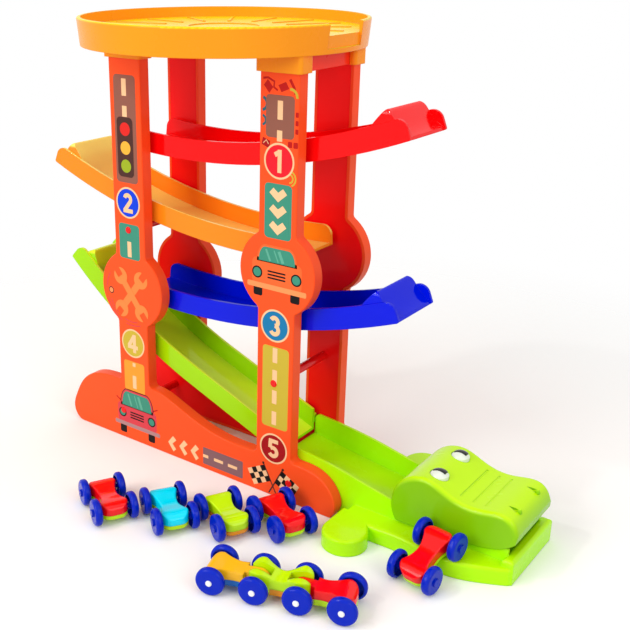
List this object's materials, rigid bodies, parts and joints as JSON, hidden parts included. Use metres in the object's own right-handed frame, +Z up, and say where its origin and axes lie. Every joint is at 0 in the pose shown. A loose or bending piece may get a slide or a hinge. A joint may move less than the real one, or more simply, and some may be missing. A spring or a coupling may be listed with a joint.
{
  "type": "toy car ramp",
  "caption": "Toddler's ramp tower: curved ramps between two panels under a round tray, a crocodile-headed run-out track and small cars with turning wheels.",
  "frame": {"origin": "on the floor, below the middle of the whole set's bounding box", "axes": "+X along the ramps towards the crocodile's head, +Y from the front panel to the rear one, +Z up"},
  "size_m": [0.4574, 0.2931, 0.3743],
  "materials": {
    "panel_red": "glossy",
    "panel_inner": "glossy",
    "tray_amber": "glossy",
    "rail_red": "glossy",
    "rod_red": "glossy",
    "ramp_red": "glossy",
    "ramp_yellow": "glossy",
    "ramp_blue": "glossy",
    "ramp_green": "glossy",
    "track_green": "glossy",
    "head_green": "glossy",
    "eye_white": "glossy",
    "eye_black": "glossy",
    "wheel_blue": "glossy",
    "hub_white": "glossy",
    "car_red": "glossy",
    "car_blue": "glossy",
    "car_lime": "glossy",
    "car_amber": "glossy",
    "car_yellow": "glossy",
    "car_deep_blue": "glossy"
  },
  "bodies": {
    "tower": {"front_panel": "panel_red", "rear_panel": "panel_red", "front_panel_cover": "panel_inner", "rear_panel_cover": "panel_inner", "top_tray": "tray_amber", "cross_rail_left": "rail_red", "cross_rail_right": "rail_red", "tie_rod_upper": "rod_red", "tie_rod_middle": "rod_red", "tie_rod_base_left": "rod_red", "tie_rod_base_right": "rod_red", "red_ramp": "ramp_red", "yellow_ramp": "ramp_yellow", "blue_ramp": "ramp_blue", "green_ramp": "ramp_green", "croc_track": "track_green", "croc_head": "head_green", "eye_whites": "eye_white", "eye_pupils": "eye_black"},
    "red_car_one": {"red_car_one_upper_shell": "car_red", "red_car_one_lower_shell": "car_lime"},
    "red_car_one_front_wheels": {"red_car_one_front_wheels": "wheel_blue"},
    "red_car_one_rear_wheels": {"red_car_one_rear_wheels": "wheel_blue"},
    "blue_car": {"blue_car_upper_shell": "car_blue", "blue_car_lower_shell": "car_lime"},
    "blue_car_front_wheels": {"blue_car_front_wheels": "wheel_blue"},
    "blue_car_rear_wheels": {"blue_car_rear_wheels": "wheel_blue"},
    "lime_car": {"lime_car_upper_shell": "car_lime", "lime_car_lower_shell": "car_amber"},
    "lime_car_front_wheels": {"lime_car_front_wheels": "wheel_blue"},
    "lime_car_rear_wheels": {"lime_car_rear_wheels": "wheel_blue"},
    "red_car_two": {"red_car_two_upper_shell": "car_red", "red_car_two_lower_shell": "car_lime"},
    "red_car_two_front_wheels": {"red_car_two_front_wheels": "wheel_blue"},
    "red_car_two_rear_wheels": {"red_car_two_rear_wheels": "wheel_blue"},
    "parked_car": {"parked_car_upper_shell": "car_red", "parked_car_lower_shell": "car_lime"},
    "parked_car_front_wheels": {"parked_car_front_wheels": "wheel_blue"},
    "parked_car_rear_wheels": {"parked_car_rear_wheels": "wheel_blue"},
    "train_rear": {"train_rear_upper_shell": "car_yellow", "train_rear_lower_shell": "car_deep_blue"},
    "train_middle": {"train_middle_upper_shell": "car_lime", "train_middle_lower_shell": "car_amber"},
    "train_front": {"train_front_upper_shell": "car_red", "train_front_lower_shell": "car_lime"},
    "train_wheels_1": {"train_wheels_1": "wheel_blue", "train_hub_caps_1": "hub_white"},
    "train_wheels_2": {"train_wheels_2": "wheel_blue", "train_hub_caps_2": "hub_white"},
    "train_wheels_3": {"train_wheels_3": "wheel_blue", "train_hub_caps_3": "hub_white"},
    "train_wheels_4": {"train_wheels_4": "wheel_blue", "train_hub_caps_4": "hub_white"}
  },
  "joints": [
    {"name": "red_car_one_roll", "type": "slide", "parent": "tower", "child": "red_car_one", "axis": [0.8796, -0.4756, 0], "range_m": [-0.015, 0.015]},
    {"name": "red_car_one_front_axle", "type": "hinge", "parent": "red_car_one", "child": "red_car_one_front_wheels", "pos_m": [-0.05214, -0.1152, 0.0107], "axis": [0.4756, 0.8796, 0], "continuous": true},
    {"name": "red_car_one_rear_axle", "type": "hinge", "parent": "red_car_one", "child": "red_car_one_rear_wheels", "pos_m": [-0.08082, -0.0997, 0.0107], "axis": [0.4756, 0.8796, 0], "continuous": true},
    {"name": "blue_car_roll", "type": "slide", "parent": "tower", "child": "blue_car", "axis": [0.849, -0.5284, 0], "range_m": [-0.015, 0.015]},
    {"name": "blue_car_front_axle", "type": "hinge", "parent": "blue_car", "child": "blue_car_front_wheels", "pos_m": [-0.00534, -0.09656, 0.0107], "axis": [0.5284, 0.849, 0], "continuous": true},
    {"name": "blue_car_rear_axle", "type": "hinge", "parent": "blue_car", "child": "blue_car_rear_wheels", "pos_m": [-0.03302, -0.07934, 0.0107], "axis": [0.5284, 0.849, 0], "continuous": true},
    {"name": "lime_car_roll", "type": "slide", "parent": "tower", "child": "lime_car", "axis": [0.8854, -0.4648, 0], "range_m": [-0.005, 0.008]},
    {"name": "lime_car_front_axle", "type": "hinge", "parent": "lime_car", "child": "lime_car_front_wheels", "pos_m": [0.03555, -0.07383, 0.0107], "axis": [0.4648, 0.8854, 0], "continuous": true},
    {"name": "lime_car_rear_axle", "type": "hinge", "parent": "lime_car", "child": "lime_car_rear_wheels", "pos_m": [0.00669, -0.05867, 0.0107], "axis": [0.4648, 0.8854, 0], "continuous": true},
    {"name": "red_car_two_roll", "type": "slide", "parent": "tower", "child": "red_car_two", "axis": [0.9107, -0.4131, 0], "range_m": [-0.006, 0]},
    {"name": "red_car_two_front_axle", "type": "hinge", "parent": "red_car_two", "child": "red_car_two_front_wheels", "pos_m": [0.07076, -0.04818, 0.0107], "axis": [0.4131, 0.9107, 0], "continuous": true},
    {"name": "red_car_two_rear_axle", "type": "hinge", "parent": "red_car_two", "child": "red_car_two_rear_wheels", "pos_m": [0.04108, -0.03472, 0.0107], "axis": [0.4131, 0.9107, 0], "continuous": true},
    {"name": "parked_car_roll", "type": "slide", "parent": "tower", "child": "parked_car", "axis": [-0.1253, -0.9921, 0], "range_m": [0, 0.006]},
    {"name": "parked_car_front_axle", "type": "hinge", "parent": "parked_car", "child": "parked_car_front_wheels", "pos_m": [0.17238, -0.04462, 0.0107], "axis": [0.9921, -0.1253, 0], "continuous": true},
    {"name": "parked_car_rear_axle", "type": "hinge", "parent": "parked_car", "child": "parked_car_rear_wheels", "pos_m": [0.17612, -0.01496, 0.0237], "axis": [0.9921, -0.1253, 0], "continuous": true},
    {"name": "train_roll", "type": "slide", "parent": "tower", "child": "train_middle", "axis": [0.9532, 0.3024, 0], "range_m": [-0.03, 0.03]},
    {"name": "train_rear_hinge", "type": "hinge", "parent": "train_middle", "child": "train_rear", "pos_m": [0.09115, -0.1182, 0.0107], "axis": [-0.3024, 0.9532, 0], "range_deg": [-20, 20]},
    {"name": "train_front_hinge", "type": "hinge", "parent": "train_middle", "child": "train_front", "pos_m": [0.12108, -0.1087, 0.0107], "axis": [-0.3024, 0.9532, 0], "range_deg": [-20, 20]},
    {"name": "train_axle_1", "type": "hinge", "parent": "train_rear", "child": "train_wheels_1", "pos_m": [0.06123, -0.12769, 0.0107], "axis": [-0.3024, 0.9532, 0], "continuous": true},
    {"name": "train_axle_2", "type": "hinge", "parent": "train_middle", "child": "train_wheels_2", "pos_m": [0.09115, -0.1182, 0.0107], "axis": [-0.3024, 0.9532, 0], "continuous": true},
    {"name": "train_axle_3", "type": "hinge", "parent": "train_middle", "child": "train_wheels_3", "pos_m": [0.12108, -0.1087, 0.0107], "axis": [-0.3024, 0.9532, 0], "continuous": true},
    {"name": "train_axle_4", "type": "hinge", "parent": "train_front", "child": "train_wheels_4", "pos_m": [0.15102, -0.09921, 0.0107], "axis": [-0.3024, 0.9532, 0], "continuous": true}
  ]
}
